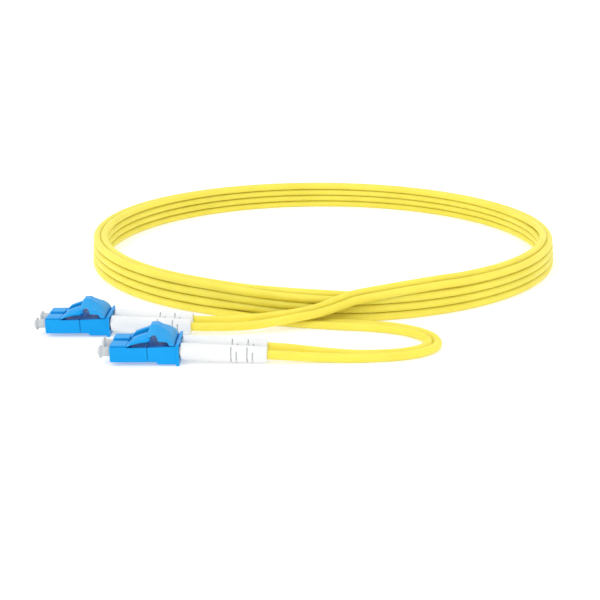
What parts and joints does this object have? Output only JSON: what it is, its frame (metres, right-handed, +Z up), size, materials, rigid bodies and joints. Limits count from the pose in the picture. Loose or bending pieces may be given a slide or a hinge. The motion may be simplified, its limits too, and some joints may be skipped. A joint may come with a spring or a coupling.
{
  "type": "fiber optic patch cord",
  "caption": "Duplex fibre patch cord: a yellow two-leg cord in a flat coil, with paired latched square plugs, white boots and dust caps at both ends.",
  "frame": {"origin": "on the floor, under the middle of the box round the two plug pairs; the cord's coil and tails don't count", "axes": "+Z up; both plug pairs point along -X; the coil lies towards +X and +Y"},
  "size_m": [0.165, 0.1984, 0.0108],
  "materials": {
    "blue_body": "satin moulded plastic",
    "blue_trigger": "satin moulded plastic, slightly lighter",
    "boot_white": "matt soft plastic",
    "cap_plastic": "translucent soft plastic",
    "ceramic": "polished zirconia ceramic",
    "nickel": "nickel plate",
    "steel": "drawn spring wire",
    "fibre": "clear-coated buffered fibre",
    "yellow_jacket": "matt extruded jacket"
  },
  "bodies": {
    "cord_and_plugs": {"duplex_clip_a": "blue_body", "plug_housing_a1": "blue_body", "ferrule_spring_a1": "steel", "spring_stop_a1": "nickel", "crimp_sleeve_a1": "nickel", "buffered_fibre_a1": "fibre", "boot_a1": "boot_white", "cord_tail_a1": "yellow_jacket", "plug_housing_a2": "blue_body", "ferrule_spring_a2": "steel", "spring_stop_a2": "nickel", "crimp_sleeve_a2": "nickel", "buffered_fibre_a2": "fibre", "boot_a2": "boot_white", "cord_tail_a2": "yellow_jacket", "duplex_clip_b": "blue_body", "plug_housing_b1": "blue_body", "ferrule_spring_b1": "steel", "spring_stop_b1": "nickel", "crimp_sleeve_b1": "nickel", "buffered_fibre_b1": "fibre", "boot_b1": "boot_white", "cord_tail_b1": "yellow_jacket", "plug_housing_b2": "blue_body", "ferrule_spring_b2": "steel", "spring_stop_b2": "nickel", "crimp_sleeve_b2": "nickel", "buffered_fibre_b2": "fibre", "boot_b2": "boot_white", "cord_tail_b2": "yellow_jacket", "cord_coil": "yellow_jacket"},
    "trigger_a": {"trigger_a": "blue_trigger"},
    "latch_a1": {"latch_arm_a1": "blue_body"},
    "ferrule_a1": {"ferrule_a1": "ceramic", "ferrule_holder_a1": "nickel"},
    "cap_a1": {"dust_cap_a1": "cap_plastic"},
    "latch_a2": {"latch_arm_a2": "blue_body"},
    "ferrule_a2": {"ferrule_a2": "ceramic", "ferrule_holder_a2": "nickel"},
    "cap_a2": {"dust_cap_a2": "cap_plastic"},
    "trigger_b": {"trigger_b": "blue_trigger"},
    "latch_b1": {"latch_arm_b1": "blue_body"},
    "ferrule_b1": {"ferrule_b1": "ceramic", "ferrule_holder_b1": "nickel"},
    "cap_b1": {"dust_cap_b1": "cap_plastic"},
    "latch_b2": {"latch_arm_b2": "blue_body"},
    "ferrule_b2": {"ferrule_b2": "ceramic", "ferrule_holder_b2": "nickel"},
    "cap_b2": {"dust_cap_b2": "cap_plastic"}
  },
  "joints": [
    {"name": "trigger_a_hinge", "type": "hinge", "parent": "cord_and_plugs", "child": "trigger_a", "pos_m": [-0.0135, 0.01143, 0.0055], "axis": [0, -1, 0], "range_deg": [0, 11], "stiffness_Nm_per_rad": 0.01},
    {"name": "latch_a1_flex", "type": "hinge", "parent": "cord_and_plugs", "child": "latch_a1", "pos_m": [-0.0253, 0.0083, 0.00535], "axis": [0, 1, 0], "range_deg": [0, 12.5]},
    {"name": "ferrule_a1_slide", "type": "slide", "parent": "cord_and_plugs", "child": "ferrule_a1", "axis": [1, 0, 0], "range_m": [0, 0.001], "stiffness_N_per_m": 1500, "deforming": ["ferrule_spring_a1"]},
    {"name": "cap_a1_pull", "type": "slide", "parent": "cord_and_plugs", "child": "cap_a1", "axis": [-1, 0, 0], "range_m": [0, 0.012]},
    {"name": "latch_a2_flex", "type": "hinge", "parent": "cord_and_plugs", "child": "latch_a2", "pos_m": [-0.0253, 0.01456, 0.00535], "axis": [0, 1, 0], "range_deg": [0, 12.5]},
    {"name": "ferrule_a2_slide", "type": "slide", "parent": "cord_and_plugs", "child": "ferrule_a2", "axis": [1, 0, 0], "range_m": [0, 0.001], "stiffness_N_per_m": 1500, "deforming": ["ferrule_spring_a2"]},
    {"name": "cap_a2_pull", "type": "slide", "parent": "cord_and_plugs", "child": "cap_a2", "axis": [-1, 0, 0], "range_m": [0, 0.012]},
    {"name": "trigger_b_hinge", "type": "hinge", "parent": "cord_and_plugs", "child": "trigger_b", "pos_m": [0.0087, -0.01143, 0.0055], "axis": [0, -1, 0], "range_deg": [0, 11], "stiffness_Nm_per_rad": 0.01},
    {"name": "latch_b1_flex", "type": "hinge", "parent": "cord_and_plugs", "child": "latch_b1", "pos_m": [-0.0031, -0.01456, 0.00535], "axis": [0, 1, 0], "range_deg": [0, 12.5]},
    {"name": "ferrule_b1_slide", "type": "slide", "parent": "cord_and_plugs", "child": "ferrule_b1", "axis": [1, 0, 0], "range_m": [0, 0.001], "stiffness_N_per_m": 1500, "deforming": ["ferrule_spring_b1"]},
    {"name": "cap_b1_pull", "type": "slide", "parent": "cord_and_plugs", "child": "cap_b1", "axis": [-1, 0, 0], "range_m": [0, 0.012]},
    {"name": "latch_b2_flex", "type": "hinge", "parent": "cord_and_plugs", "child": "latch_b2", "pos_m": [-0.0031, -0.0083, 0.00535], "axis": [0, 1, 0], "range_deg": [0, 12.5]},
    {"name": "ferrule_b2_slide", "type": "slide", "parent": "cord_and_plugs", "child": "ferrule_b2", "axis": [1, 0, 0], "range_m": [0, 0.001], "stiffness_N_per_m": 1500, "deforming": ["ferrule_spring_b2"]},
    {"name": "cap_b2_pull", "type": "slide", "parent": "cord_and_plugs", "child": "cap_b2", "axis": [-1, 0, 0], "range_m": [0, 0.012]}
  ],
  "couplings": [
    {"joint": "latch_a1_flex", "follows": "trigger_a_hinge", "ratio": 1.1},
    {"joint": "latch_a2_flex", "follows": "trigger_a_hinge", "ratio": 1.1},
    {"joint": "latch_b1_flex", "follows": "trigger_b_hinge", "ratio": 1.1},
    {"joint": "latch_b2_flex", "follows": "trigger_b_hinge", "ratio": 1.1}
  ]
}
